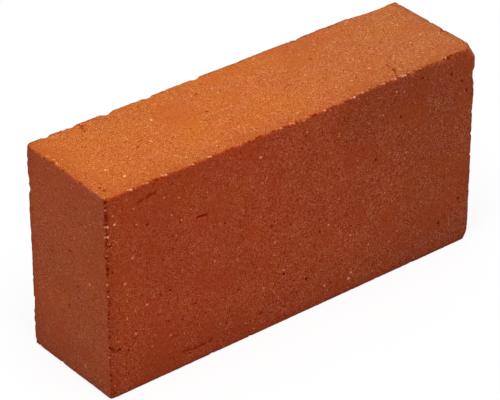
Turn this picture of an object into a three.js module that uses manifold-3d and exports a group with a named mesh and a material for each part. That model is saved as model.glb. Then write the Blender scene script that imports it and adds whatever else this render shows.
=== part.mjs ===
// A solid clay building brick, standing on one of its long narrow sides.
//
// Units are millimetres, +Z is up. X runs along the brick's length, Y through its thickness from one
// bed face to the other, and Z across its width. The origin is the centre of the face it stands on.
//
// A brick like this is cut from a column of stiff clay. The die gives the column its outline, length by
// width with rounded corners, and a wire cuts off slices one thickness deep. So the two large bed faces
// are wire-cut and have ragged arrises, and the four arrises between a stretcher (long narrow side) and
// a header (end) are smoother, because the die formed them. Handling then knocks off the odd corner.

import * as THREE from "three";
import { mergeVertices } from "three/addons/utils/BufferGeometryUtils.js";
import Module from "manifold-3d";

const wasm = await Module();
wasm.setup();

// ---------------------------------------------------------------- sizes after firing

const length = 248;
const width = 122;
const thickness = 67;
const dieCornerRadius = 1.6;

// ---------------------------------------------------------------- how arrises wear

// wear is how far a rounded arris usually reaches into its faces, ragged how far it strays from that,
// and wave the length of its longer ripples. The wire leaves the clay cleaner where it goes in.
const wireCutArris = { wear: 1.1, ragged: 0.5, wave: 17 };
const wireEntryArris = { wear: 0.7, ragged: 0.12, wave: 31 };
const dieArris = { wear: 0.8, ragged: 0.3, wave: 23 };
const leastWear = 0.3;

const cornerWear = 1.1; // added where an arris runs out into a corner
const cornerReach = 5; // how far from the corner that starts

const arrisStep = 2.1; // between the sections of a worn arris
const arrisFacets = 3; // across its rounding
const cutterMargin = 4; // how far a cutter reaches past the brick

const breakRoughness = 0.16; // of the face that a broken corner leaves
const breakFacets = 9; // along each side of that face

// ---------------------------------------------------------------- faces, arrises and corners

const faces = {
  bedFront: new THREE.Vector3(0, -1, 0),
  bedBack: new THREE.Vector3(0, 1, 0),
  stretcherTop: new THREE.Vector3(0, 0, 1),
  stretcherBase: new THREE.Vector3(0, 0, -1),
  headerLeft: new THREE.Vector3(-1, 0, 0),
  headerRight: new THREE.Vector3(1, 0, 0),
};

// The twelve arrises. A nick is a place where the edge has crumbled or is worn further: at is its middle,
// measured from the left header, the base or the front bed face, whichever the arris runs away from.
// long is its length along the arris, and into how far it reaches into each of the two faces.
const arrises = [
  {
    between: ["bedFront", "stretcherTop"],
    style: wireCutArris,
    seed: 3,
    nicks: [
      { at: 6, long: 22, into: [1.1, 1.9] },
      { at: 114, long: 96, into: [1.1, 1.7] },
      { at: 203, long: 10, into: [2.2, 3.1] },
      { at: 226, long: 34, into: [2.1, 1.9] },
    ],
  },
  {
    between: ["bedBack", "stretcherTop"],
    style: wireCutArris,
    seed: 11,
    nicks: [
      { at: 12, long: 6, into: [1.7, 1.9] },
      { at: 28, long: 6, into: [1.8, 1.8] },
      { at: 50, long: 10, into: [2.3, 2.4] },
      { at: 77, long: 9, into: [2.2, 2.0] },
      { at: 108, long: 7, into: [1.9, 1.9] },
      { at: 236, long: 60, into: [2.2, 2.6] },
    ],
  },
  {
    between: ["bedBack", "headerLeft"],
    style: wireCutArris,
    seed: 158,
    nicks: [
      { at: 26, long: 16, into: [1.6, 1.4] },
      { at: 96, long: 6, into: [2.4, 2.3] },
      { at: 101, long: 8, into: [1.7, 1.5] },
      { at: 120, long: 7, into: [2.4, 2.4] },
    ],
  },
  {
    between: ["bedFront", "headerLeft"],
    style: wireCutArris,
    seed: 31,
    nicks: [
      { at: 34, long: 7, into: [1.4, 1.8] },
      { at: 101, long: 5, into: [1.5, 1.9] },
    ],
  },
  {
    between: ["bedFront", "headerRight"],
    style: wireCutArris,
    seed: 43,
    nicks: [{ at: 104, long: 14, into: [1.9, 2.1] }],
  },
  {
    between: ["bedBack", "headerRight"],
    style: wireCutArris,
    seed: 47,
    nicks: [{ at: 58, long: 9, into: [1.8, 2.3] }],
  },
  {
    between: ["bedFront", "stretcherBase"],
    style: wireEntryArris,
    seed: 59,
    nicks: [],
  },
  {
    between: ["bedBack", "stretcherBase"],
    style: wireCutArris,
    seed: 61,
    nicks: [
      { at: 83, long: 12, into: [2.4, 1.9] },
      { at: 171, long: 8, into: [1.9, 2.1] },
    ],
  },
  { between: ["stretcherTop", "headerLeft"], style: dieArris, seed: 71, nicks: [] },
  {
    between: ["stretcherTop", "headerRight"],
    style: dieArris,
    seed: 79,
    nicks: [{ at: 8, long: 50, into: [1.2, 1.3] }],
  },
  {
    between: ["stretcherBase", "headerLeft"],
    style: dieArris,
    seed: 83,
    nicks: [{ at: 16, long: 44, into: [1.2, 1.1] }],
  },
  { between: ["stretcherBase", "headerRight"], style: dieArris, seed: 97, nicks: [] },
];

// Corners with a piece broken off. Each bite is how far the break reaches along the arris that runs away
// from the face named in the same place.
const brokenCorners = [
  { of: ["headerRight", "bedFront", "stretcherTop"], bites: [9, 8.5, 7.5], seed: 5 },
  { of: ["headerRight", "bedFront", "stretcherBase"], bites: [3.5, 4, 7], seed: 7 },
  { of: ["headerLeft", "bedBack", "stretcherTop"], bites: [4, 3.5, 5], seed: 13 },
  { of: ["headerRight", "bedBack", "stretcherBase"], bites: [7, 6, 4], seed: 17 },
];

// ---------------------------------------------------------------- small helpers

// Distance from the brick's centre to the face with this normal.
function halfExtent(normal) {
  const { x, y, z } = normal;
  return (Math.abs(x) * length + Math.abs(y) * thickness + Math.abs(z) * width) / 2;
}

// The point where faces with these normals meet, seen from the brick's centre.
function meetingPoint(normals) {
  const point = new THREE.Vector3();
  for (const normal of normals) {
    point.addScaledVector(normal, halfExtent(normal));
  }
  return point;
}

// A repeatable number from -1 to 1 for each whole number and seed.
function scatter(cell, seed) {
  let hash = Math.imul(cell ^ 0x9e3779b9, 0x85ebca6b) ^ Math.imul(seed + 101, 0xc2b2ae35);
  hash = Math.imul(hash ^ (hash >>> 15), 0x2c1b3c6d);
  hash = Math.imul(hash ^ (hash >>> 12), 0x297a2d39);
  hash ^= hash >>> 15;
  return (hash >>> 0) / 0x7fffffff - 1;
}

// Smooth noise from -1 to 1, with about one bump for each unit of x.
function noise(x, seed) {
  const cell = Math.floor(x);
  const blend = THREE.MathUtils.smoothstep(x - cell, 0, 1);
  return THREE.MathUtils.lerp(scatter(cell, seed), scatter(cell + 1, seed), blend);
}

function indexedGeometry(positions, index) {
  const geometry = new THREE.BufferGeometry();
  geometry.setAttribute("position", new THREE.Float32BufferAttribute(positions, 3));
  geometry.setIndex(index);
  return geometry;
}

// A closed geometry as a manifold-3d solid.
function solidOf(geometry) {
  const bare = geometry.clone();
  bare.deleteAttribute("normal");
  bare.deleteAttribute("uv");
  const merged = mergeVertices(bare);
  const mesh = new wasm.Mesh({
    numProp: 3,
    vertProperties: merged.attributes.position.array,
    triVerts: new Uint32Array(merged.index.array),
  });
  return new wasm.Manifold(mesh);
}

// A manifold-3d solid as a flat-shaded geometry.
function geometryOf(solid) {
  const mesh = solid.getMesh();
  const geometry = indexedGeometry(mesh.vertProperties, [...mesh.triVerts]).toNonIndexed();
  geometry.computeVertexNormals();
  return geometry;
}

// ---------------------------------------------------------------- the slice of clay column

// The die's outline, length by width, extruded through the thickness.
function columnSlice() {
  const right = length / 2 - dieCornerRadius;
  const top = width / 2 - dieCornerRadius;
  const outline = new THREE.Shape();
  outline.absarc(right, top, dieCornerRadius, 0, 0.5 * Math.PI);
  outline.absarc(-right, top, dieCornerRadius, 0.5 * Math.PI, Math.PI);
  outline.absarc(-right, -top, dieCornerRadius, Math.PI, 1.5 * Math.PI);
  outline.absarc(right, -top, dieCornerRadius, 1.5 * Math.PI, 2 * Math.PI);
  const settings = { depth: thickness, bevelEnabled: false, curveSegments: 4 };
  const slice = new THREE.ExtrudeGeometry(outline, settings);
  slice.translate(0, 0, -thickness / 2);
  slice.rotateX(Math.PI / 2); // the outline now stands in the XZ plane
  return solidOf(slice);
}

// ---------------------------------------------------------------- worn arrises

// How far the arris is worn into its two faces at a distance along it, and how broken it is, from 0 for
// worn round to 1 for broken off.
function wearAt(along, span, { style, seed, nicks }) {
  const ripple = noise(along / style.wave, seed) + 0.6 * noise((2.9 * along) / style.wave, seed + 1);
  const fromEnd = Math.min(along, span - along);
  const corner = cornerWear * Math.max(0, 1 - fromEnd / cornerReach) ** 2;
  const worn = Math.max(leastWear, style.wear + style.ragged * ripple) + corner;
  const lean = 0.3 * noise((1.7 * along) / style.wave, seed + 2);
  const into = [worn * (1 + lean), worn * (1 - lean)];
  let broken = 0;
  for (const nick of nicks) {
    const share = 1 - (2 * (along - nick.at) / nick.long) ** 2;
    if (share > 0 && share * (nick.into[0] + nick.into[1]) > into[0] + into[1]) {
      into[0] = Math.max(into[0], share * nick.into[0]);
      into[1] = Math.max(into[1], share * nick.into[1]);
      broken = share;
    }
  }
  return { into, broken };
}

// The waste that wear takes off one arris: a strip along local X whose inner side is the worn arris. The
// first face is the plane y = 0 and the second z = 0, and the brick is where both are negative. So wear
// into the first face is measured along z, and wear into the second along y.
function wornStrip(arris, span, flipped) {
  const count = Math.ceil((span + 2 * cutterMargin) / arrisStep);
  const sections = [];
  for (let i = 0; i <= count; i++) {
    const x = THREE.MathUtils.lerp(-cutterMargin, span + cutterMargin, i / count);
    const along = THREE.MathUtils.clamp(flipped ? span - x : x, 0, span);
    const { into, broken } = wearAt(along, span, arris);
    const [inZ, inY] = into;
    const section = [[cutterMargin, cutterMargin], [-inY, cutterMargin]];
    for (let k = 0; k <= arrisFacets; k++) {
      const share = k / arrisFacets;
      const angle = ((1 - share) * Math.PI) / 2;
      const grain = 1 + 0.15 * Math.sin(Math.PI * share) * scatter(i * 8 + k, arris.seed);
      const y = THREE.MathUtils.lerp(Math.cos(angle) - 1, share - 1, 1.15 * broken);
      const z = THREE.MathUtils.lerp(Math.sin(angle) - 1, -share, 1.15 * broken);
      section.push([inY * y * grain, inZ * z * grain]);
    }
    section.push([cutterMargin, -inZ]);
    sections.push(section.map(([y, z]) => [x - span / 2, y, z]));
  }
  return loft(sections);
}

// A closed geometry through sections with equally many points, each star-shaped about its first point.
function loft(sections) {
  const size = sections[0].length;
  const last = (sections.length - 1) * size;
  const index = [];
  for (let start = 0; start < last; start += size) {
    for (let j = 0; j < size; j++) {
      const a = start + j;
      const b = start + ((j + 1) % size);
      index.push(a, b, b + size, a, b + size, a + size);
    }
  }
  for (let j = 1; j + 1 < size; j++) {
    index.push(0, j + 1, j);
    index.push(last, last + j, last + j + 1);
  }
  return indexedGeometry(sections.flat(2), index);
}

// The waste of one arris, in its place on the brick.
function arrisWaste(arris) {
  const normals = arris.between.map((name) => faces[name]);
  const along = new THREE.Vector3().crossVectors(...normals);
  const span = 2 * halfExtent(along);
  const flipped = along.x + along.y + along.z < 0;
  const place = new THREE.Matrix4().makeBasis(along, ...normals);
  place.setPosition(meetingPoint(normals));
  return solidOf(wornStrip(arris, span, flipped).applyMatrix4(place));
}

// ---------------------------------------------------------------- broken corners

// The waste of a broken corner: a cone whose base is the rough face that the break leaves. The base is
// larger than the break, and the tip lies outside the corner.
function cornerWaste({ of, bites, seed }) {
  const normals = of.map((name) => faces[name]);
  const corner = meetingPoint(normals);
  const reached = normals.map((normal, i) => corner.clone().addScaledVector(normal, -bites[i]));
  const middle = reached.reduce((sum, point) => sum.add(point), new THREE.Vector3()).divideScalar(3);
  const outward = corner.clone().sub(middle);
  const tip = corner.clone().addScaledVector(outward, 2);
  const [a, b, c] = reached.map((point) => middle.clone().lerp(point, 2.4));
  const facing = new THREE.Vector3().crossVectors(b.clone().sub(a), c.clone().sub(a));
  const [second, third] = facing.dot(outward) < 0 ? [b, c] : [c, b];
  outward.normalize();

  const points = [];
  const index = [];
  const at = (row, place) => (row * (row + 1)) / 2 + place;
  for (let row = 0; row <= breakFacets; row++) {
    for (let place = 0; place <= row; place++) {
      const point = a.clone().multiplyScalar(1 - row / breakFacets);
      point.addScaledVector(second, (row - place) / breakFacets);
      point.addScaledVector(third, place / breakFacets);
      point.addScaledVector(outward, breakRoughness * scatter(points.length, seed));
      points.push(point);
    }
  }
  const tipIndex = points.length;
  points.push(tip);
  for (let row = 0; row < breakFacets; row++) {
    for (let place = 0; place <= row; place++) {
      index.push(at(row, place), at(row + 1, place), at(row + 1, place + 1));
      if (place < row) {
        index.push(at(row, place), at(row + 1, place + 1), at(row, place + 1));
      }
    }
    index.push(at(row + 1, 0), at(row, 0), tipIndex);
    index.push(at(row, row), at(row + 1, row + 1), tipIndex);
    index.push(at(breakFacets, row + 1), at(breakFacets, row), tipIndex);
  }
  return solidOf(indexedGeometry(points.flatMap((point) => point.toArray()), index));
}

// ---------------------------------------------------------------- the brick

const firedClay = new THREE.MeshStandardMaterial({
  name: "fired_clay",
  color: 0xb05a30,
  roughness: 0.9,
  metalness: 0,
});

const waste = [...arrises.map(arrisWaste), ...brokenCorners.map(cornerWaste)];
const body = waste.reduce((left, piece) => left.subtract(piece), columnSlice());

const brick = new THREE.Mesh(geometryOf(body), firedClay);
brick.name = "brick";
brick.position.z = width / 2;

const group = new THREE.Group();
group.add(brick);

export default group;
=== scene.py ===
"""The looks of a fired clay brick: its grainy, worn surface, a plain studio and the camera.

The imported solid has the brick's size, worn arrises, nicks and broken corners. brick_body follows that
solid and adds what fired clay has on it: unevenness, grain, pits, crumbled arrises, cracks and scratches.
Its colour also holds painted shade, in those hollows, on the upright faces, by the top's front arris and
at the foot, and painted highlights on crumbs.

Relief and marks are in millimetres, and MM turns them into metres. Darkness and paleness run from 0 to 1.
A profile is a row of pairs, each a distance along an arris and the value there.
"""

import functools
import itertools
import math

import bpy
import numpy as np
from mathutils import Matrix, Vector


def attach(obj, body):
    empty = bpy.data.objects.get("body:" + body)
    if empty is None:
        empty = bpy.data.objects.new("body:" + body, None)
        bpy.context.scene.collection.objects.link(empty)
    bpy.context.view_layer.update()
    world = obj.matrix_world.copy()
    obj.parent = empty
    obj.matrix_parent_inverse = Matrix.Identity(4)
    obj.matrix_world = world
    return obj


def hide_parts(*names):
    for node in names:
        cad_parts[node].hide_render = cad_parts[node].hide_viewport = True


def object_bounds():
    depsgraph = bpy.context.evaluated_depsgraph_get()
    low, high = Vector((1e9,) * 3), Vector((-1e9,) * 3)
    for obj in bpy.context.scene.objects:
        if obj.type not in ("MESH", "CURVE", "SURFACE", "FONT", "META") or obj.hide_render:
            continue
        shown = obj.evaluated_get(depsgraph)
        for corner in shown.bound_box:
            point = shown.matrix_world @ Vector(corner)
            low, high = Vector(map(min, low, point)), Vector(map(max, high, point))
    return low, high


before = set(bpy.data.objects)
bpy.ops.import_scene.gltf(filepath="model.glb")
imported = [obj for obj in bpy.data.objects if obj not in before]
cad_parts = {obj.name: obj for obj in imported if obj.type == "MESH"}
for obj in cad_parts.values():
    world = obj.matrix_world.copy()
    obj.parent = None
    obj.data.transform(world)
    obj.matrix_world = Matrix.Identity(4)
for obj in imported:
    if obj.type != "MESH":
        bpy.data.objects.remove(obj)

MM = 0.001
cad_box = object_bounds()
low, high = (np.array(corner) / MM for corner in cad_box)

# ---------------------------------------------------------------- the brick's faces

# Each face: the corner where its own coordinates start, and the two directions that they run in. Beds and
# the two stretchers start at the left header, headers at the front bed.
FACES = {
    "bed_front": ((low[0], low[1], low[2]), (1, 0, 0), (0, 0, 1)),
    "bed_back": ((low[0], high[1], low[2]), (1, 0, 0), (0, 0, 1)),
    "top": ((low[0], low[1], high[2]), (1, 0, 0), (0, 1, 0)),
    "base": ((low[0], low[1], low[2]), (1, 0, 0), (0, 1, 0)),
    "header_left": ((low[0], low[1], low[2]), (0, 1, 0), (0, 0, 1)),
    "header_right": ((high[0], low[1], low[2]), (0, 1, 0), (0, 0, 1)),
}


def on_face(face, u, v):
    """The point u and v millimetres from the start of a face's coordinates."""
    start, along_u, along_v = (np.array(part, float) for part in FACES[face])
    return start + u * along_u + v * along_v


def face_span(face):
    """How far a face reaches in its own two directions."""
    _, along_u, along_v = (np.array(part, float) for part in FACES[face])
    return abs((high - low) @ along_u), abs((high - low) @ along_v)


def kind_of(face):
    """Whether a face is a bed, a stretcher or a header."""
    return {"top": "stretcher", "base": "stretcher"}.get(face, face.split("_")[0])


# ---------------------------------------------------------------- marks that this brick has

# Cracks, scratches and torn clay: the face, width, depth, darkness and the places that each runs through.
# The darkness is painted shade in the groove.
CRACKS = (
    ("bed_front", 1.7, 0.25, 0.40, ((20.5, 111.8), (25.5, 112.6), (31.0, 113.4))),
    ("bed_front", 1.1, 0.60, 0.65, ((57.5, 88.0), (60.0, 88.2), (63.5, 87.3))),
    ("bed_front", 1.4, 0.25, 0.40, ((47.0, 10.1), (53.0, 8.7), (60.6, 8.7), (66.0, 9.4))),
    ("bed_front", 1.2, 0.45, 0.60, ((0.2, 32.9), (2.8, 29.5), (7.6, 28.2))),
    ("bed_front", 1.0, 0.40, 0.80, ((17.4, 121.0), (20.5, 121.2))),
    ("top", 1.0, 0.60, 0.65, ((196.5, 14.0), (197.0, 10.5), (196.0, 8.0), (194.5, 5.5), (193.5, 2.0))),
    ("top", 0.8, 0.25, 0.30, ((197.5, 29.6), (200.8, 23.3), (204.1, 21.4), (202.1, 16.5))),
    ("top", 0.9, 0.30, 0.50, ((209.0, 2.3), (219.0, 1.8))),
    ("top", 1.6, 0.15, 0.50, ((204.0, 0.9), (222.0, 0.9), (243.0, 1.2))),
    ("top", 1.2, 0.30, 0.50, ((243.1, 32.3), (242.5, 29.1))),
    ("top", 1.2, 0.30, 0.35, ((127.5, 16.2), (126.3, 13.6))),
    ("top", 1.1, 0.30, 0.60, ((32.5, 65.5), (31.5, 61.5), (31.5, 59.0))),
)
CRACK_NOISE_SIZE = 1.3  # across the unevenness of a crack's sides
CRACK_WIDTHS = (-0.3, 1.5)  # shares of its width between which a crack varies, where below 0 is closed
LEAST_WIDTH = 0.01  # of a closed crack, so that nothing is divided by 0
CRACK_FILL = 1.5  # how fast the dark of a crack sets in from its sides

# Pits: how far each is along and up or across its face, and its darkness, which is painted shade in the
# pit.
PIT_RADIUS = 0.9
PIT_DEPTH = 0.6
PITS = {
    "bed_front": (
        (130.5, 20.5, 1.0), (239.5, 29.0, 1.0), (115.0, 30.0, 0.7), (139.5, 46.5, 1.0), (77.0, 15.5, 0.6),
        (195.0, 97.0, 1.0), (36.0, 71.0, 0.5), (40.0, 51.5, 1.0), (26.0, 96.0, 1.0), (230.5, 110.0, 1.0),
        (238.5, 103.5, 1.0), (242.0, 96.5, 1.0), (2.4, 92.5, 0.8), (2.2, 30.5, 0.5), (3.0, 3.0, 0.3),
        # the last three are painted shade on the broken corner by the right header, whose break faces away
        # from the light
        (243.5, 121.0, 0.5), (246.0, 118.5, 0.8), (247.5, 116.0, 0.8),
    ),
    "top": (
        (5.0, 11.0, 0.9), (5.5, 7.5, 0.7), (33.5, 64.0, 0.9), (92.0, 35.5, 1.0), (169.5, 45.0, 1.0),
        (43.0, 29.5, 0.8),
    ),
    "header_left": ((35.5, 121.2, 0.6), (46.0, 120.7, 0.4), (51.0, 120.7, 0.4)),
}

# Pale grains of grit in the clay: the same, with their paleness.
GRIT_RADIUS = 0.8
GRIT_FILL = 2  # how fast the pale of a grain sets in from its rim
GRIT = {
    "bed_front": (
        (6.0, 104.5, 1.0), (6.5, 94.0, 0.3), (16.0, 80.5, 0.6), (17.0, 97.0, 0.3), (11.0, 67.0, 0.7),
        (24.5, 49.0, 0.7), (39.5, 23.5, 0.55), (98.5, 108.0, 1.0), (145.5, 49.0, 1.0), (108.5, 52.5, 0.65),
        (160.5, 8.5, 0.95), (143.5, 11.0, 0.95), (162.0, 12.0, 0.7), (101.0, 27.0, 0.6),
        (161.0, 36.0, 0.65), (17.0, 34.0, 0.65), (0.5, 117.5, 0.2), (0.3, 114.5, 0.25), (0.2, 90.5, 0.4),
        (0.6, 88.0, 0.4), (0.2, 73.5, 0.3), (0.3, 70.5, 0.5), (0.5, 63.5, 0.8), (0.2, 43.5, 0.3),
        (0.2, 26.5, 0.4),
    ),
    "top": (
        (21.0, 11.5, 1.0), (16.5, 21.5, 0.7), (64.0, 46.5, 0.85), (51.0, 29.5, 0.8), (2.0, 50.5, 0.4),
        (1.5, 42.0, 0.5), (2.0, 45.5, 0.5), (187.0, 17.5, 0.55), (190.5, 51.5, 0.65), (233.5, 29.0, 0.6),
    ),
    "header_left": ((21.5, 10.0, 0.85), (15.5, 63.5, 0.7)),
}

# Pale crumbs, each with a hollow and a smaller crumb beside it: the distance along the top's front arris
# from the left header, and the paleness. A crumb's pale is partly its grit and partly a painted highlight
# where it catches the light, and its hollow's dark is a painted shadow.
TOP_CRUMBS = {
    16.5: 0.9, 26.5: 0.65, 38.5: 0.85, 55.5: 0.7, 67.0: 0.75, 86.0: 0.3, 112.5: 0.6, 121.0: 0.65,
    131.0: 0.45, 142.0: 0.75, 161.5: 1.0, 167.5: 0.6, 171.0: 0.5, 182.5: 0.5, 190.5: 0.6,
    195.5: 0.5, 197.5: 0.9, 208.0: 0.4, 227.0: 0.6,
}
TOP_CRUMB_IN = 0.6  # how far in from that arris they are
TOP_HOLLOW_BESIDE = (1.8, 0.2, -0.3)  # how far right, back and up a hollow is from its crumb
SIDE_CRUMBS = {104.5: 0.9, 98.5: 0.8}  # the same on the front bed beside the left header, by height
SIDE_CRUMB_IN = 1.3
SIDE_HOLLOW_BESIDE = (-1.1, 0.4, 0.2)
CRUMB_RISE = 0.35  # how far a crumb stands out
CRUMB_RADIUS = 0.9
SMALL_CRUMB_BESIDE = (-1.4, 0.8, 0)
SMALL_CRUMB_RADIUS = 0.7
SMALL_CRUMB_PALENESS = 0.7  # times the crumb's
TOP_HOLLOWS = (80.5, 97.0, 99.0, 107.5, 156.0, 186.5, 230.5)  # more hollows along the top's front arris
# A hollow's depth, radius and dark, which is a painted shadow in it.
HOLLOW_DEPTH = 0.6
HOLLOW_RADIUS = 1.1
HOLLOW_PAINTED_SHADOW = 0.8
CRUMB_TO_HOLLOW = 1.3  # times a crumb's paleness gives its hollow's share of that, up to 1

# Torn places on the arris between the front bed and the left header: the height and the darkness, which
# is painted shade in the hollow.
TORN_PLACES = {
    118.8: 0.5, 117.0: 0.9, 115.5: 0.5, 97.4: 0.6, 79.7: 1.0, 76.1: 0.6, 66.3: 0.6, 62.0: 0.4,
    52.4: 0.7, 49.9: 0.8, 42.3: 0.4, 38.0: 0.3, 32.3: 0.6, 20.5: 0.3, 15.2: 0.6,
}
TORN_IN = 0.4  # how far in from that arris they are
TORN_RADIUS = 1.1
TORN_DEPTH = 0.7

# The torn clay all along that arris: its darkness by height, how far it reaches and how uneven it is.
TORN_LINE = ((0, 0.05), (40, 0.15), (70, 0.35), (90, 0.6), (122, 0.8))
TORN_LINE_REACH = 0.9
TORN_LINE_NOISE_SIZE = 1.3
TORN_LINE_SHARES = (0.4, 1.6)

# Patches where the skin of the clay has been rubbed smooth: the face, the middle and how far it reaches.
SMOOTH_PATCHES = (
    ("bed_front", (18, 110), 14),
    ("bed_front", (42, 108), 12),
    ("bed_front", (70, 88), 9),
    ("bed_front", (88, 8), 9),
    ("bed_front", (95, 115), 8),
    ("bed_front", (211, 116), 6),
    ("bed_front", (236, 117), 9),
    ("header_left", (10, 76), 13),
    ("header_left", (28, 112), 12),
    ("header_left", (60, 112), 12),
)

# Where the clay is a little darker: patches of the front bed, and painted shade on the top beside its front
# arris, as a profile, and on the front bed under that arris, where the worn arris turns from the light.
SHADED_PATCHES = (("bed_front", (165, 116), 26), ("bed_front", (212, 122), 30))
PAINTED_SHADE_BESIDE_ARRIS = ((145, 0), (165, 1), (250, 1))
TOP_SHADE_REACH = 2.5
PAINTED_SHADE_UNDER_ARRIS = 0.5
UNDER_SHADE_DISTANCE = 1.0  # how far under the arris it is darkest
UNDER_SHADE_BEHIND = 2  # how far behind the front bed's plane the worn arris still has it

# The top has sunk a little along its headers and most of its front arris: profiles of the depth.
FRONT_SAG = ((0, 1.4), (25, 1.6), (60, 1.55), (155, 1.9), (167, 0.45), (235, 0.3), (250, 1.3))
LEFT_SAG = ((0, 1.4), (25, 0.8), (45, 0.1), (60, 0))
RIGHT_SAG = ((0, 1.2), (20, 1.0), (45, 0.6), (60, 0))
SAG_REACH = 12

# The top's back arris and its left corner are worn less than the rest: how far they stand out, and how
# far that reaches.
FULL_ARRIS_RISE = 0.38
FULL_ARRIS_REACH = 2.5
FULL_CORNER_RISE = 1.5
FULL_CORNER_REACH = 4

# How far the bed's darker clay reaches over the front arris onto the top. Below 0 the top's reaches down.
# This puts the line between the two colours where the worn arris turns from the light: the top's colour
# down the rounded arris is painted light, and the bed's on the right end's bevel is painted shade.
LIGHT_AND_SHADE_LINE_REACH = (
    (0, -1.2), (5, -1.0), (9, -0.5), (155, -0.5), (170, 0.1), (200, 0), (215, 0.4), (243, 0.5),
)
BED_CLAY_BLEND = 0.5  # across the line where one clay turns into the other
BED_CLAY_AREA = 4  # how far from the arris that line is looked for

# ---------------------------------------------------------------- relief all over

BROAD_SWELLS = ((55, 0.12), (18, 0.04))  # size across and depth of the slow unevenness of each face
GRAIN = ((3.1, 0.025), (1.5, 0.03))  # size and depth of the clay's grain
BED_GRAIN = 1.3  # times that on the wire-cut beds
RAGGED_EDGE = ((4.2, 0.25), (1.5, 0.45), (0.8, 0.20))  # size and depth of the unevenness of an arris
EDGE_REACH = 1.3  # how far from an arris it fades out
FACE_BLEND = 0.3  # how far a normal turns where one kind of face becomes another
LEAST_SHARE = 0.001  # keeps a share from being divided by nothing

RIM_REACH = 5  # how far from an arris the clay is a little darker
TOP_RIM_REACH = 9  # the same on the top
RIGHT_RIM_NARROWING = 2  # how many times narrower that is beside the right header
LINE_REACH = 1.2  # how far from an outer arris a darker line reaches
# at the foot, this darker line is painted shade where the brick meets the floor
FOOT_SHADE_LINE_REACH = 2.5  # the same at the brick's foot

CALM_SIZE = 14  # across the patches of smoother clay all over
CALM_START = 0.56  # from this value of their noise, the clay is smoother
CALM_BLEND = 0.2  # and this much above it, it is fully smooth
CALM_BESIDE = 0.6  # how smooth the clay beside the long arrises of a bed is
CALM_REACH = 5  # how far from them that reaches
CALM_LOSS = 0.5  # how much of the grain's depth smooth clay lacks

# The arrises are long, back, upright, die or clean. Long ones are wire-cut and run along the brick, and
# back is the top's back one. Upright ones are wire-cut too, between a bed and a header. The die formed the
# die ones, and the wire went in at the clean one, so these are smoother.
ARRIS_RAGGEDNESS = {"long": 1, "back": 0.6, "upright": 0.35, "die": 0.45, "clean": 0.3}
ARRIS_REACH = 4  # how far from an arris its own raggedness counts

# Seeded pits on each kind of face: how many there are to 100 cm2, and their radius, depth and darkness,
# which is painted shade in the pit.
PITS_PER_AREA = {"bed": 18, "stretcher": 12, "header": 8}
PIT_AREA = 10_000
PIT_RADII = (0.5, 1.2)
PIT_DEPTHS = (0.10, 0.45)
PIT_SHADE_DARKNESS = (0.25, 0.75)

# Seeded crumbs broken off along each kind of arris: the distance between them, radius, depth and darkness,
# which is painted shade in the hollow.
CRUMB_SPACING = {"long": 5, "back": 14, "upright": 12, "die": 16, "clean": 40}
CRUMB_RADII = (0.8, 2.0)
CRUMB_DEPTHS = (0.25, 0.8)
CRUMB_DEPTH_SHARE = {"long": 1, "back": 0.5, "upright": 0.5, "die": 0.8, "clean": 0.5}
CRUMB_HOLLOW_SHADE = 0.5

# Seeded pale grit that wear has laid bare on the arrises: the distance between grains, radius and paleness.
BARE_GRIT_SPACING = {"long": 4, "back": 12, "upright": 12, "die": 16, "clean": 40}
BARE_GRIT_RADII = (0.4, 0.8)
BARE_GRIT_PALENESS = (0.1, 0.5)
ARRIS_MARKS_IN = 1.2  # how far in from the sharp arris both may be

NOISE_CELLS = 128  # each way, after which the noise repeats
TURNED_AXES = np.array(Matrix.Rotation(0.9, 3, (0.5, 0.3, 0.8)))  # the noise's own, square to no face
RIM_NOISE_SIZE = 0.9  # across the bites in the rim of a pit or a grain
MARK_FULLNESS = 1.15  # over 1, so that a mark is full all around its middle
MARK_SLOPE = 0.75  # how fast it gets less toward its rim, where the bites add up to 1 to that
SNAP_REACH = 3  # how far off the surface a place may be along the brick

SEEDS = {"swells": 1, "grain": 4, "marks": 7, "edges": 8, "rims": 30, "cracks": 40, "torn": 50, "calm": 60}


def vertex_array(mesh, name):
    values = np.empty(len(mesh.vertices) * 3)
    mesh.vertices.foreach_get(name, values)
    return values.reshape(-1, 3)


@functools.cache
def lattice(seed):
    return np.random.default_rng(seed).random((NOISE_CELLS, NOISE_CELLS, NOISE_CELLS))


def smooth_noise(points, size, seed):
    """Smooth noise from 0 to 1 at each point, with bumps about this size across."""
    scaled = points @ TURNED_AXES / size
    cells = np.floor(scaled)
    share = scaled - cells
    share = share * share * (3 - 2 * share)
    total = np.zeros(len(points))
    for corner in itertools.product((0, 1), repeat=3):
        weight = np.prod(np.where(corner, share, 1 - share), axis=1)
        x, y, z = ((cells + corner) % NOISE_CELLS).astype(int).T
        total += weight * lattice(seed)[x, y, z]
    return total


def layered_noise(points, layers, seed):
    """The sum of layers of noise, each with its size across and its depth."""
    return sum(depth * smooth_noise(points, size, seed + i) for i, (size, depth) in enumerate(layers))


def fade(distance, reach):
    """1 at no distance, falling smoothly to about 0 at twice this reach."""
    return np.exp(-((distance / reach) ** 2))


def profile_at(distance, profile):
    """A profile's value at each distance along its arris."""
    return np.interp(distance, *zip(*profile))


def between(share, ends):
    """The value at a share of the way from one end to the other."""
    return np.interp(share, (0, 1), ends)


def sink_top(points):
    """The points with the top sunk along its front, left and right arrises."""
    from_left, from_front, _ = (points - low).T
    from_right = high[0] - points[:, 0]
    front = profile_at(from_left, FRONT_SAG) * fade(from_front, SAG_REACH)
    left = profile_at(from_front, LEFT_SAG) * fade(from_left, SAG_REACH)
    right = profile_at(from_front, RIGHT_SAG) * fade(from_right, SAG_REACH)
    sunk = points.copy()
    sunk[:, 2] = np.minimum(points[:, 2], high[2] - np.maximum(front, np.maximum(left, right)))
    return sunk


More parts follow.
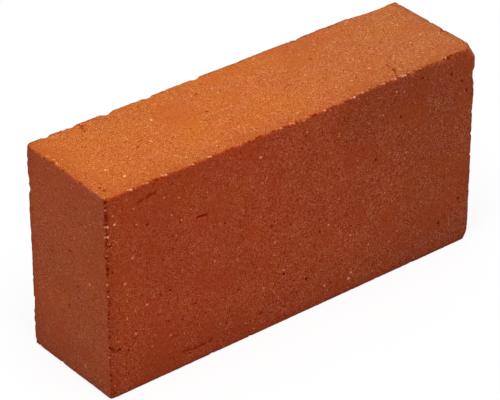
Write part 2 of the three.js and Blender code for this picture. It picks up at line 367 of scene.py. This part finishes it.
def fill_back(points):
    """The points with the top's back arris and its left corner standing out."""
    to_corner = points - (low[0], high[1], high[2])
    arris_rise = FULL_ARRIS_RISE * fade(np.hypot(to_corner[:, 1], to_corner[:, 2]), FULL_ARRIS_REACH)
    corner_rise = FULL_CORNER_RISE * fade(np.linalg.norm(to_corner, axis=1), FULL_CORNER_REACH)
    filled = points + np.outer(arris_rise, (0, 1, 1)) / math.sqrt(2)
    filled += np.outer(corner_rise, (-1, 1, 1)) / math.sqrt(3)
    return np.clip(filled, low, high)


def path_distance(points, path):
    """Each point's distance to a line through the places of a path."""
    distance = np.full(len(points), np.inf)
    for start, end in zip(path, path[1:]):
        step = end - start
        share = np.clip((points - start) @ step / (step @ step), 0, 1)
        nearest = start + share[:, None] * step
        distance = np.minimum(distance, np.linalg.norm(points - nearest, axis=1))
    return distance


class Surface:
    """The clay's skin, with a value of each kind for each point.

    depth is how far it is pressed in, and tone runs from -1 in a pit to 1 on pale grit, where the dark of
    pits, cracks and hollows is painted shade and the pale on crumbs is partly a painted highlight. header
    is how much of the clay is a header's, and bed how much of the rest is a bed's. edge is 1 on an arris,
    rim falls from 1 at some arrises over a wider strip, line is 1 on the outer arrises and at the foot,
    where it is painted shade, and ragged is how uneven an arris is. calm is 1 where the clay is smooth, and
    shade is 1 where it is darker, beside and under the top's front arris as painted shade.
    """

    def __init__(self, mesh):
        self.points = fill_back(sink_top(vertex_array(mesh, "co") / MM))
        self.normals = vertex_array(mesh, "normal")
        self.order = np.argsort(self.points[:, 0])
        self.ordered_x = self.points[self.order, 0]
        self.from_left, self.from_front, self.from_base = (self.points - low).T
        self.from_right, self.from_back, self.from_top = (high - self.points).T
        from_faces = np.minimum(self.points - low, high - self.points)
        self.from_headers, self.from_beds, self.from_stretchers = from_faces.T
        self.from_arris = np.sort(from_faces, axis=1)[:, 1]
        self.from_back_arris = np.hypot(self.from_back, self.from_top)

        self.depth = np.zeros(len(self.points))
        self.tone = np.zeros(len(self.points))
        self.header, self.bed = self.kinds_of_clay()
        self.edge = fade(self.from_arris, EDGE_REACH)
        self.rim = self.darker_rim()
        self.line = self.outer_line_and_foot_shade()
        self.ragged = self.raggedness()
        self.calm = self.smoothness()
        self.shade = self.shaded()

    def kinds_of_clay(self):
        """How much of the clay is a header's, and how much of the rest is a bed's, by the way it faces.

        Beside the top's front arris, the line between bed and top is put where the worn arris turns from
        the light, as painted light and shade.
        """
        along, across, upward = np.abs(self.normals).T
        upright = np.clip((np.maximum(along, across) - upward) / FACE_BLEND + 0.5, 0, 1)
        header = upright * np.clip((along - across) / FACE_BLEND + 0.5, 0, 1)
        bed = (upright - header) / np.maximum(1 - header, LEAST_SHARE)
        reach = profile_at(self.from_left, LIGHT_AND_SHADE_LINE_REACH)
        before_line = reach - (self.from_front - self.from_top)
        at_arris = np.clip(before_line / BED_CLAY_BLEND + 0.5, 0, 1)
        near_arris = np.maximum(self.from_front, self.from_top) < BED_CLAY_AREA
        return header, np.where(near_arris, at_arris, bed)

    def darker_rim(self):
        """1 on the arrises beside which each kind of face is darker, falling to 0 away from them."""
        on_top = np.maximum(self.header, self.bed) < 0.5
        from_right = RIGHT_RIM_NARROWING * self.from_right
        on_top_distance = np.minimum(np.minimum(self.from_left, self.from_front), from_right)
        on_side_distance = np.where(self.bed > 0.5, self.from_left, self.from_back)
        distance = np.where(on_top, on_top_distance, on_side_distance)
        return fade(distance, np.where(on_top, TOP_RIM_REACH, RIM_REACH))

    def outer_line_and_foot_shade(self):
        """1 on the top's back arris, both headers' outer arrises and the foot, falling to 0 beside them. At
        the foot it is painted shade where the brick meets the floor.
        """
        from_right_arris = np.maximum(self.from_right, self.from_arris)
        from_left_back = np.hypot(self.from_left, self.from_back)
        from_outer = np.minimum(self.from_back_arris, np.minimum(from_right_arris, from_left_back))
        return np.maximum(fade(from_outer, LINE_REACH), fade(self.from_base, FOOT_SHADE_LINE_REACH))

    def raggedness(self):
        """How uneven the arris near each point is, where the long wire-cut ones have 1."""
        distances = {
            "die": np.maximum(self.from_headers, self.from_stretchers),
            "upright": np.maximum(self.from_headers, self.from_beds),
            "clean": np.maximum(self.from_front, self.from_base),
            "back": self.from_back_arris,
        }
        ragged = np.ones(len(self.points))
        for kind, distance in distances.items():
            ragged *= 1 - (1 - ARRIS_RAGGEDNESS[kind]) * fade(distance, ARRIS_REACH)
        return ragged

    def smoothness(self):
        """1 where the clay is smooth: in patches all over, beside a bed's long arrises and where rubbed."""
        patches = smooth_noise(self.points, CALM_SIZE, SEEDS["calm"])
        calm = np.clip((patches - CALM_START) / CALM_BLEND, 0, 1)
        calm += CALM_BESIDE * self.bed * fade(self.from_stretchers, CALM_REACH)
        return np.clip(calm + self.patches(SMOOTH_PATCHES), 0, 1)

    def shaded(self):
        """1 where the clay is darker: in patches of the bed, and as painted shade on both sides of the
        top's front arris.
        """
        shade = self.bed * np.clip(self.patches(SHADED_PATCHES), 0, 1)
        beside_arris = profile_at(self.from_left, PAINTED_SHADE_BESIDE_ARRIS) * fade(self.from_front, TOP_SHADE_REACH)
        shade += (1 - np.maximum(self.bed, self.header)) * beside_arris
        under = self.from_top - profile_at(self.from_left, FRONT_SAG)
        under_arris = fade(under - UNDER_SHADE_DISTANCE, UNDER_SHADE_DISTANCE)
        under_arris *= fade(self.from_front, UNDER_SHADE_BEHIND)
        return np.maximum(shade, PAINTED_SHADE_UNDER_ARRIS * self.bed * under_arris)

    def patches(self, patches):
        """How much each point lies in round patches: the face, the middle and how far each reaches."""
        away = [np.linalg.norm(self.points - on_face(face, *place), axis=1) for face, place, _ in patches]
        return sum(fade(distance, reach) for distance, (_, _, reach) in zip(away, patches))

    def in_slice(self, place, reach):
        """The points within reach of a place along the brick, and each one's distance to the place."""
        first, last = np.searchsorted(self.ordered_x, (place[0] - reach, place[0] + reach))
        found = self.order[first:last]
        return found, np.linalg.norm(self.points[found] - place, axis=1)

    def near(self, place, reach):
        """The points within reach of a place, and how close each is, from 0 at a bitten rim to 1."""
        found, distance = self.in_slice(place, reach)
        within = distance < reach
        found = found[within]
        bites = smooth_noise(self.points[found], RIM_NOISE_SIZE, SEEDS["rims"])
        return found, np.clip(MARK_FULLNESS - distance[within] / reach * (MARK_SLOPE + bites), 0, 1)

    def snap(self, place):
        """The point of the surface nearest to a place, within a few millimetres along the brick."""
        found, distance = self.in_slice(place, SNAP_REACH)
        return self.points[found[distance.argmin()]]

    def dent(self, place, radius, depth, darkness):
        """Presses in a round pit with a rough rim, darkened with painted shade."""
        found, closeness = self.near(place, radius)
        bowl = 1 - (1 - closeness) ** 2
        self.depth[found] += depth * bowl
        self.tone[found] = np.minimum(self.tone[found], -darkness * bowl)

    def grit(self, place, radius, paleness):
        """A grain of pale grit, level with the face."""
        found, closeness = self.near(place, radius)
        pale = paleness * np.minimum(1, GRIT_FILL * closeness)
        self.tone[found] = np.maximum(self.tone[found], pale)

    def crumb(self, place, paleness, hollow_beside):
        """A pale crumb that stands on a worn arris, the hollow beside it and a smaller crumb. Their pale is
        partly a painted highlight, and the hollow's dark a painted shadow.
        """
        darkness = HOLLOW_PAINTED_SHADOW * min(1, CRUMB_TO_HOLLOW * paleness)
        self.dent(place + hollow_beside, HOLLOW_RADIUS, HOLLOW_DEPTH, darkness)
        found, closeness = self.near(place, CRUMB_RADIUS)
        self.depth[found] -= CRUMB_RISE * closeness
        self.grit(place, CRUMB_RADIUS, paleness)
        small_place = self.snap(place + SMALL_CRUMB_BESIDE)
        self.grit(small_place, SMALL_CRUMB_RADIUS, SMALL_CRUMB_PALENESS * paleness)

    def crack(self, path, width, depth, darkness):
        """A groove with ragged sides along a path, darkened with painted shade."""
        middle = path.mean(axis=0)
        reach = np.abs(path - middle).max() + 2 * width
        found = np.flatnonzero(np.abs(self.points - middle).max(axis=1) < reach)
        distance = path_distance(self.points[found], path)
        noise = smooth_noise(self.points[found], CRACK_NOISE_SIZE, SEEDS["cracks"])
        ragged_width = width * between(noise, CRACK_WIDTHS)
        closeness = np.clip(1 - distance / np.maximum(ragged_width, LEAST_WIDTH), 0, 1)
        self.depth[found] += depth * closeness
        dark = -darkness * np.minimum(1, CRACK_FILL * closeness)
        self.tone[found] = np.minimum(self.tone[found], dark)

    def tear_left_arris(self):
        """Darkens the torn clay along the arris between the front bed and the left header."""
        darkness = profile_at(self.from_base, TORN_LINE)
        noise = smooth_noise(self.points, TORN_LINE_NOISE_SIZE, SEEDS["torn"])
        near_arris = fade(np.hypot(self.from_left, self.from_front), TORN_LINE_REACH)
        self.tone = np.minimum(self.tone, -darkness * between(noise, TORN_LINE_SHARES) * near_arris)


def press_relief(surface):
    """Unevenness and grain all over, and ragged arrises."""
    surface.depth += layered_noise(surface.points, BROAD_SWELLS, SEEDS["swells"])
    rough = (1 + (BED_GRAIN - 1) * surface.bed) * (1 - CALM_LOSS * surface.calm)
    surface.depth += rough * layered_noise(surface.points, GRAIN, SEEDS["grain"])
    level = sum(depth for _, depth in RAGGED_EDGE) / 2
    uneven = layered_noise(surface.points, RAGGED_EDGE, SEEDS["edges"]) - level
    surface.depth += surface.edge * surface.ragged * uneven


def scatter_pits(surface, random):
    """Seeded pits on every face, mostly small ones."""
    for face in FACES:
        span_u, span_v = face_span(face)
        count = round(PITS_PER_AREA[kind_of(face)] * span_u * span_v / PIT_AREA)
        for _ in range(count):
            place = on_face(face, random.uniform(0, span_u), random.uniform(0, span_v))
            size = random.random() ** 2
            ends_of_each = (PIT_RADII, PIT_DEPTHS, PIT_SHADE_DARKNESS)
            surface.dent(place, *(between(size, ends) for ends in ends_of_each))


def kind_of_arris(axis, start):
    """The kind of the arris that runs along an axis from its start."""
    if axis == 0 and start[1] == low[1] and start[2] == low[2]:
        return "clean"
    if axis == 0 and start[1] == high[1] and start[2] == high[2]:
        return "back"
    return ("long", "die", "upright")[axis]


def arrises():
    """The twelve sharp arrises, as start, end and kind."""
    for axis in range(3):
        others = [other for other in range(3) if other != axis]
        for sides in itertools.product((low, high), repeat=2):
            start = low.copy()
            for other, side in zip(others, sides):
                start[other] = side[other]
            end = start.copy()
            end[axis] = high[axis]
            yield start, end, kind_of_arris(axis, start)


def place_on_arris(surface, start, end, share, random):
    """A random place on the worn clay, near the point at a share of the way along a sharp arris."""
    place = start + (end - start) * share
    inward = np.sign((low + high) / 2 - place) * (start == end)  # 0 along the arris
    return surface.snap(place + inward * random.uniform(0, ARRIS_MARKS_IN, 3))


def crumble_arrises(surface, random):
    """Seeded crumbs broken off along every arris, mostly small ones, and pale grit laid bare there."""
    for start, end, kind in arrises():
        span = np.linalg.norm(end - start)
        for _ in range(round(span / CRUMB_SPACING[kind])):
            share = random.random()
            size = random.random() ** 2
            place = place_on_arris(surface, start, end, share, random)
            depth = CRUMB_DEPTH_SHARE[kind] * between(size, CRUMB_DEPTHS)
            surface.dent(place, between(size, CRUMB_RADII), depth, CRUMB_HOLLOW_SHADE)
        for _ in range(round(span / BARE_GRIT_SPACING[kind])):
            place = place_on_arris(surface, start, end, random.random(), random)
            surface.grit(place, random.uniform(*BARE_GRIT_RADII), random.uniform(*BARE_GRIT_PALENESS))


def make_marks(surface):
    """The marks that this brick has, each at its place on the worn clay."""
    surface.tear_left_arris()
    for face, width, depth, darkness, places in CRACKS:
        path = np.array([on_face(face, *place) for place in places])
        surface.crack(path, width, depth, darkness)
    for face, pits in PITS.items():
        for u, v, darkness in pits:
            surface.dent(surface.snap(on_face(face, u, v)), PIT_RADIUS, PIT_DEPTH, darkness)
    for height, darkness in TORN_PLACES.items():
        place = surface.snap(on_face("bed_front", TORN_IN, height))
        surface.dent(place, TORN_RADIUS, TORN_DEPTH, darkness)
    for height, paleness in SIDE_CRUMBS.items():
        place = surface.snap(on_face("bed_front", SIDE_CRUMB_IN, height))
        surface.crumb(place, paleness, SIDE_HOLLOW_BESIDE)
    for along, paleness in TOP_CRUMBS.items():
        place = surface.snap(on_face("top", along, TOP_CRUMB_IN))
        surface.crumb(place, paleness, TOP_HOLLOW_BESIDE)
    for along in TOP_HOLLOWS:
        place = surface.snap(on_face("top", along, TOP_CRUMB_IN))
        surface.dent(place, HOLLOW_RADIUS, HOLLOW_DEPTH, HOLLOW_PAINTED_SHADOW)
    for face, grains in GRIT.items():
        for u, v, paleness in grains:
            surface.grit(surface.snap(on_face(face, u, v)), GRIT_RADIUS, paleness)


# ---------------------------------------------------------------- the brick's mesh

GRID_SIZE = 0.4  # of the even grid that the relief is pressed into
BOX_MARGIN = 0.03  # left to the CAD box, so that thinning the mesh doesn't cross it
TRIANGLES_KEPT = 195_000
LEAST_KEPT = 0.4  # how much of the grid's detail the plain faces keep, where arrises and marks keep 1
SHOWN_VALUES = ("bed", "header", "edge", "rim", "line", "shade", "tone", "calm")  # that the material reads


def settle(piece):
    """Applies the piece's modifiers to its mesh."""
    graph = bpy.context.evaluated_depsgraph_get()
    mesh = bpy.data.meshes.new_from_object(piece.evaluated_get(graph))
    piece.modifiers.clear()
    piece.data = mesh


def fine_copy(node):
    """A piece with the CAD node's shape, on an even grid fine enough for relief."""
    piece = bpy.data.objects.new("brick_body", node.data.copy())
    bpy.context.scene.collection.objects.link(piece)
    piece.data.materials.clear()
    remesh = piece.modifiers.new("even_grid", "REMESH")
    remesh.mode = "VOXEL"
    remesh.voxel_size = GRID_SIZE * MM
    settle(piece)
    return piece


def shape_mesh(mesh, surface):
    """Moves the mesh's points to the pressed surface and stores the values that the material reads."""
    pressed = surface.points - surface.normals * surface.depth[:, None]
    pressed = np.clip(pressed, low + BOX_MARGIN, high - BOX_MARGIN)
    mesh.vertices.foreach_set("co", (pressed * MM).ravel())
    for name in SHOWN_VALUES:
        attribute = mesh.attributes.new(name, "FLOAT", "POINT")
        attribute.data.foreach_set("value", getattr(surface, name))


def thin(piece, surface):
    """Leaves TRIANGLES_KEPT triangles, closest together on the arrises and marks."""
    kept = piece.vertex_groups.new(name="kept")
    detail = np.maximum(surface.edge, np.abs(surface.tone))
    level = np.round(LEAST_KEPT + (1 - LEAST_KEPT) * detail, 1)
    for weight in np.unique(level):
        kept.add(np.flatnonzero(level == weight).tolist(), weight, "REPLACE")
    decimate = piece.modifiers.new("decimate", "DECIMATE")
    decimate.ratio = TRIANGLES_KEPT / (2 * len(piece.data.polygons))
    decimate.vertex_group = "kept"
    decimate.invert_vertex_group = True
    settle(piece)


def make_brick_body():
    piece = fine_copy(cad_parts["brick"])
    surface = Surface(piece.data)
    random = np.random.default_rng(SEEDS["marks"])
    press_relief(surface)
    scatter_pits(surface, random)
    crumble_arrises(surface, random)
    make_marks(surface)
    shape_mesh(piece.data, surface)
    thin(piece, surface)
    piece.data.shade_smooth()
    return piece


brick_body = make_brick_body()

# ---------------------------------------------------------------- the fired clay

# Each kind of face has its clay. The beds' darker, redder clay is partly their own colour and partly
# painted shade of the upright faces; the headers' is the same, with a painted sheen in its paler blue.
STRETCHER_CLAY = (0.650, 0.160, 0.0270)
BED_CLAY_AND_SHADE = (0.538, 0.077, 0.0165)
HEADER_CLAY_SHADE_AND_SHEEN = (0.546, 0.106, 0.033)
ROUGHNESS = 0.9
SPECULAR_LEVEL = 0.1

# What the clay's colour is multiplied by at the right end of the brick, at its foot and where the surface's
# values of each kind are 1. The darkening toward the foot is painted shade near the floor.
FAR_END_TINT = (0.86, 0.97, 1.52)
FAR_END_BED_TINT = (0.79, 0.985, 1.22)
FAR_END_START = -25 * MM
PAINTED_FOOT_SHADE = (0.84, 0.83, 0.93)
PAINTED_FOOT_SHADE_HEIGHTS = (35 * MM, 4 * MM)  # where that starts and where it is full
PLACE_TINTS = {
    "rim": (0.89, 0.85, 0.85),
    "edge": (1.0, 0.93, 1.0),
    # darker outer arrises, and painted shade at the foot
    "line": (0.76, 0.78, 0.85),
    # darker patches of the bed, and painted shade beside and under the top's front arris
    "shade": (0.87, 0.90, 0.95),
    "calm": (1.0, 0.94, 0.95),
}

# The same in patches all over: pinker and yellower ones, and darker and lighter ones.
HUE_SIZE = 25
PINK_TINT = (1.0, 0.96, 1.08)
YELLOW_TINT = (1.0, 1.04, 0.92)
BLOTCH_SIZE = 35
BLOTCH_LEVELS = (0.95, 1.05)
BLOTCH_SPREAD = 0.2
PATCH_SPREAD = 0.15  # how far from its middle the noise behind a patch counts, where not given
PATCH_ROUGHNESS = 0.6

# Grain, specks, pits and grit shift the clay's colour on the scale that a screen shows, where 1 is white.
# A tint is the share of a shift that red, green and blue each take.
SCREEN_GAMMA = 2.2
GRAIN_TINT = (0.80, 1.00, 1.12)
MARK_TINT = (1.15, 1.12, 1.20)
GRIT_SHIFT = 0.47
# the dark of pits, cracks and hollows is painted shade
PIT_SHADE_SHIFT = -0.28
GRAIN_TURN = (0.9, 0.4, 0.6)  # the grain's own axes are square to no face
GRAIN_SHIFTS = ((0.38, 0.295), (0.9, 0.01))  # size and strength of layers of grain
BED_SHARES = (0.95, 1.12)  # times that on the beds, at the left and from the middle to the right
BED_SHARE_PLACES = (-65 * MM, -25 * MM)
HEADER_SHARE = 0.82  # times that on the headers
CALM_GRAIN = 0.55  # times that where the clay is smooth
LIVELY_SIZE = 5  # across the patches of weaker and stronger grain
LIVELY_GRAIN = (0.75, 1.25)
SPECK_SIZE = 0.7
SPECKS = 0.009  # the share of grains that are pale specks, and the share that are dark
PALE_SPECK = 0.30
DARK_SPECK = -0.30
BUMP_STRENGTH = 0.6
BUMP_HEIGHT = 0.02 * MM


def add(tree, kind, inputs=None, **settings):
    """A new node. An input is a number, a vector, a colour of three parts or another node's output."""
    node = tree.nodes.new(kind)
    for name, value in settings.items():
        setattr(node, name, value)
    for name, value in (inputs or {}).items():
        socket = node.inputs[name]
        if isinstance(value, bpy.types.NodeSocket):
            tree.links.new(value, socket)
        elif socket.type == "RGBA":
            socket.default_value = (*value, 1)
        else:
            socket.default_value = value
    return node


def math_node(tree, operation, *values):
    return add(tree, "ShaderNodeMath", dict(enumerate(values)), operation=operation).outputs["Value"]


def vector_math(tree, operation, inputs):
    return add(tree, "ShaderNodeVectorMath", inputs, operation=operation).outputs["Vector"]


def map_range(tree, value, from_low, from_high, to_low, to_high):
    limits = {"From Min": from_low, "From Max": from_high, "To Min": to_low, "To Max": to_high}
    return add(tree, "ShaderNodeMapRange", {"Value": value, **limits}).outputs["Result"]


def mix_colour(tree, share, first, second, blend="MIX"):
    """A mix of two colours: inputs 6 and 7 and output 2 of a node that mixes other things too."""
    inputs = {0: share, 6: first, 7: second}
    return add(tree, "ShaderNodeMix", inputs, data_type="RGBA", blend_type=blend).outputs[2]


def tinted(tree, colour, tint):
    return mix_colour(tree, 1.0, colour, tint, "MULTIPLY")


def attribute(tree, name):
    return add(tree, "ShaderNodeAttribute", attribute_name=name).outputs["Fac"]


def patch_value(tree, place, size, values, spread=PATCH_SPREAD, detail=2):
    """A value that wanders between two in patches of this size. Noise past the spread is cut off."""
    inputs = {"Vector": place, "Scale": 1 / (size * MM), "Detail": detail, "Roughness": PATCH_ROUGHNESS}
    noise = add(tree, "ShaderNodeTexNoise", inputs).outputs["Fac"]
    return map_range(tree, noise, 0.5 - spread, 0.5 + spread, *values)


def grain_cells(tree, place, size):
    """A random number from 0 to 1 for each grain of sand of this size."""
    cells = add(tree, "ShaderNodeTexVoronoi", {"Vector": place, "Scale": 1 / (size * MM)})
    return add(tree, "ShaderNodeSeparateColor", {"Color": cells.outputs["Color"]}).outputs["Red"]


def shift_colour(tree, colour, shifts):
    """A colour made lighter or darker on the scale that a screen shows, by each shift times its tint."""
    shown = add(tree, "ShaderNodeGamma", {"Color": colour, "Gamma": 1 / SCREEN_GAMMA}).outputs["Color"]
    for shift, tint in shifts:
        step = vector_math(tree, "SCALE", {0: tint, "Scale": shift})
        shown = vector_math(tree, "ADD", {0: shown, 1: step})
    shown = vector_math(tree, "MAXIMUM", {0: shown, 1: (0, 0, 0)})
    shown = vector_math(tree, "MINIMUM", {0: shown, 1: (1, 1, 1)})
    return add(tree, "ShaderNodeGamma", {"Color": shown, "Gamma": SCREEN_GAMMA}).outputs["Color"]


def clay_colour(tree, place):
    """The clay's colour before its grain: by face, along the brick, at the arrises and in patches, with
    painted shade in the upright faces' colours, at the foot and beside the top's front arris.
    """
    clay = mix_colour(tree, attribute(tree, "bed"), STRETCHER_CLAY, BED_CLAY_AND_SHADE)
    clay = mix_colour(tree, attribute(tree, "header"), clay, HEADER_CLAY_SHADE_AND_SHEEN)
    along = add(tree, "ShaderNodeSeparateXYZ", {"Vector": place}).outputs
    far_tint = mix_colour(tree, attribute(tree, "bed"), FAR_END_TINT, FAR_END_BED_TINT)
    toward_right = map_range(tree, along["X"], FAR_END_START, high[0] * MM, 0, 1)
    clay = mix_colour(tree, toward_right, clay, tinted(tree, clay, far_tint))
    # painted shade toward the foot, near the floor
    into_foot_shade = map_range(tree, along["Z"], *PAINTED_FOOT_SHADE_HEIGHTS, 0, 1)
    clay = mix_colour(tree, into_foot_shade, clay, tinted(tree, clay, PAINTED_FOOT_SHADE))
    for name, tint in PLACE_TINTS.items():
        clay = mix_colour(tree, attribute(tree, name), clay, tinted(tree, clay, tint))
    hue = patch_value(tree, place, HUE_SIZE, (0, 1))
    clay = tinted(tree, clay, mix_colour(tree, hue, PINK_TINT, YELLOW_TINT))
    level = patch_value(tree, place, BLOTCH_SIZE, BLOTCH_LEVELS, BLOTCH_SPREAD)
    return vector_math(tree, "SCALE", {0: clay, "Scale": level})


def grain_shift(tree, place):
    """How much lighter or darker each grain is than the clay."""
    turned = add(tree, "ShaderNodeMapping", {"Vector": place, "Rotation": GRAIN_TURN}).outputs["Vector"]
    grain = 0.0
    for size, strength in GRAIN_SHIFTS:
        centred = math_node(tree, "SUBTRACT", grain_cells(tree, turned, size), 0.5)
        grain = math_node(tree, "MULTIPLY_ADD", centred, strength, grain)
    lively = patch_value(tree, turned, LIVELY_SIZE, LIVELY_GRAIN, detail=1)
    calm = map_range(tree, attribute(tree, "calm"), 0, 1, 1, CALM_GRAIN)
    along = add(tree, "ShaderNodeSeparateXYZ", {"Vector": place}).outputs["X"]
    bed_share = map_range(tree, along, *BED_SHARE_PLACES, *BED_SHARES)
    bed = map_range(tree, attribute(tree, "bed"), 0, 1, 1, bed_share)
    header = map_range(tree, attribute(tree, "header"), 0, 1, 1, HEADER_SHARE)
    for factor in (lively, calm, bed, header):
        grain = math_node(tree, "MULTIPLY", grain, factor)
    speck = grain_cells(tree, turned, SPECK_SIZE)
    pale = map_range(tree, speck, 1 - SPECKS, 1, 0, PALE_SPECK)
    dark = map_range(tree, speck, SPECKS, 0, 0, DARK_SPECK)
    specks = math_node(tree, "MULTIPLY", math_node(tree, "ADD", pale, dark), header)
    return math_node(tree, "ADD", grain, specks)


def mark_shift(tree):
    """How much lighter pale grit and how much darker pits and cracks are than the clay, where the dark is
    painted shade and some of the crumbs' pale a painted highlight.
    """
    tone = attribute(tree, "tone")
    grit = map_range(tree, tone, 0, 1, 0, GRIT_SHIFT)
    pit = map_range(tree, tone, 0, -1, 0, PIT_SHADE_SHIFT)
    return math_node(tree, "ADD", grit, pit)


def fired_clay():
    material = bpy.data.materials.new("fired_clay")
    material.use_nodes = True
    tree = material.node_tree
    shader = tree.nodes["Principled BSDF"]
    shader.inputs["Roughness"].default_value = ROUGHNESS
    shader.inputs["Specular IOR Level"].default_value = SPECULAR_LEVEL
    place = add(tree, "ShaderNodeTexCoord").outputs["Object"]
    grain = grain_shift(tree, place)
    shifts = ((grain, GRAIN_TINT), (mark_shift(tree), MARK_TINT))
    clay = shift_colour(tree, clay_colour(tree, place), shifts)
    tree.links.new(clay, shader.inputs["Base Color"])
    height = {"Strength": BUMP_STRENGTH, "Distance": BUMP_HEIGHT, "Height": grain}
    tree.links.new(add(tree, "ShaderNodeBump", height).outputs["Normal"], shader.inputs["Normal"])
    return material


brick_body.data.materials.clear()
brick_body.data.materials.append(fired_clay())
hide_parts("brick")
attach(brick_body, "root")

# ---------------------------------------------------------------- the studio

FLOOR_SPAN = 12  # in metres, as the softbox's places are
FLOOR_BOUNCE = (0.45, 0.45, 0.45)  # how much light the floor returns to the brick
FLOOR_SEEN = (0.20, 0.20, 0.20)  # how much of its light shows, so that the shadow stays soft and pale
FLOOR_GLOW = 0.84
WORLD_LEVEL = 0.4
WHITE = (1, 1, 1, 1)
SOFTBOX_PLACE = (-0.35, -0.45, 1.9)
SOFTBOX_AIM = (0, 0, 0.06)
SOFTBOX_SIZE = 1.4
SOFTBOX_POWER = 22


def seen_directly(tree):
    """1 for a ray that shows the floor or backdrop itself, also in gloss and glass."""
    path = add(tree, "ShaderNodeLightPath").outputs
    seen = math_node(tree, "MAXIMUM", path["Is Camera Ray"], path["Is Glossy Ray"])
    return math_node(tree, "MAXIMUM", seen, path["Is Transmission Ray"])


def white_paper():
    """A floor that shows almost white, but returns less light than that to the brick."""
    material = bpy.data.materials.new("white_paper")
    material.use_nodes = True
    tree = material.node_tree
    tree.nodes.remove(tree.nodes["Principled BSDF"])
    bounce = add(tree, "ShaderNodeBsdfDiffuse", {"Color": FLOOR_BOUNCE}).outputs["BSDF"]
    seen = add(tree, "ShaderNodeBsdfDiffuse", {"Color": FLOOR_SEEN}).outputs["BSDF"]
    glow = add(tree, "ShaderNodeEmission", {"Strength": FLOOR_GLOW}).outputs["Emission"]
    shown = add(tree, "ShaderNodeAddShader", {0: seen, 1: glow}).outputs["Shader"]
    choice = add(tree, "ShaderNodeMixShader", {0: seen_directly(tree), 1: bounce, 2: shown})
    tree.links.new(choice.outputs["Shader"], tree.nodes["Material Output"].inputs["Surface"])
    return material


def add_floor():
    half = FLOOR_SPAN / 2
    corners = [(-half, -half, 0), (half, -half, 0), (half, half, 0), (-half, half, 0)]
    mesh = bpy.data.meshes.new("floor")
    mesh.from_pydata(corners, [], [(0, 1, 2, 3)])
    mesh.materials.append(white_paper())
    floor = bpy.data.objects.new("floor", mesh)
    bpy.context.scene.collection.objects.link(floor)


def add_world():
    """White where it shows, and an even, weaker light on the brick."""
    world = bpy.data.worlds.new("studio")
    bpy.context.scene.world = world
    world.use_nodes = True
    tree = world.node_tree
    strength = map_range(tree, seen_directly(tree), 0, 1, WORLD_LEVEL, 1)
    tree.links.new(strength, tree.nodes["Background"].inputs["Strength"])
    tree.nodes["Background"].inputs["Color"].default_value = WHITE


def add_softbox():
    data = bpy.data.lights.new("softbox", "AREA")
    data.shape = "SQUARE"
    data.size = SOFTBOX_SIZE
    data.energy = SOFTBOX_POWER
    lamp = bpy.data.objects.new("softbox", data)
    lamp.location = SOFTBOX_PLACE
    lamp.rotation_euler = (Vector(SOFTBOX_AIM) - Vector(SOFTBOX_PLACE)).to_track_quat("-Z", "Y").to_euler()
    bpy.context.scene.collection.objects.link(lamp)


add_floor()
add_world()
add_softbox()
bpy.context.scene.view_settings.view_transform = "Standard"

# ---------------------------------------------------------------- the camera

# Its angles are in degrees, and its distance, aim, lens and sensor in millimetres.
CAMERA_AZIMUTH = -39.04  # from straight in front of the front bed, with the left header nearer
CAMERA_ELEVATION = 31.83
CAMERA_ROLL = 0.111
CAMERA_DISTANCE = 1534.2
CAMERA_AIM = (-4.3, 1.0, 57.8)
CAMERA_LENS = 207.7
SENSOR_WIDTH = 36


def add_camera():
    turn, rise = math.radians(CAMERA_AZIMUTH), math.radians(CAMERA_ELEVATION)
    back = Vector((math.sin(turn) * math.cos(rise), -math.cos(turn) * math.cos(rise), math.sin(rise)))
    data = bpy.data.cameras.new("camera")
    data.sensor_width = SENSOR_WIDTH
    data.lens = CAMERA_LENS
    camera = bpy.data.objects.new("camera", data)
    rotation = (-back).to_track_quat("-Z", "Y").to_matrix().to_4x4()
    rotation = rotation @ Matrix.Rotation(math.radians(CAMERA_ROLL), 4, "Z")
    place = Vector(CAMERA_AIM) * MM + back * (CAMERA_DISTANCE * MM)
    camera.matrix_world = Matrix.Translation(place) @ rotation
    bpy.context.scene.collection.objects.link(camera)
    bpy.context.scene.camera = camera


add_camera()
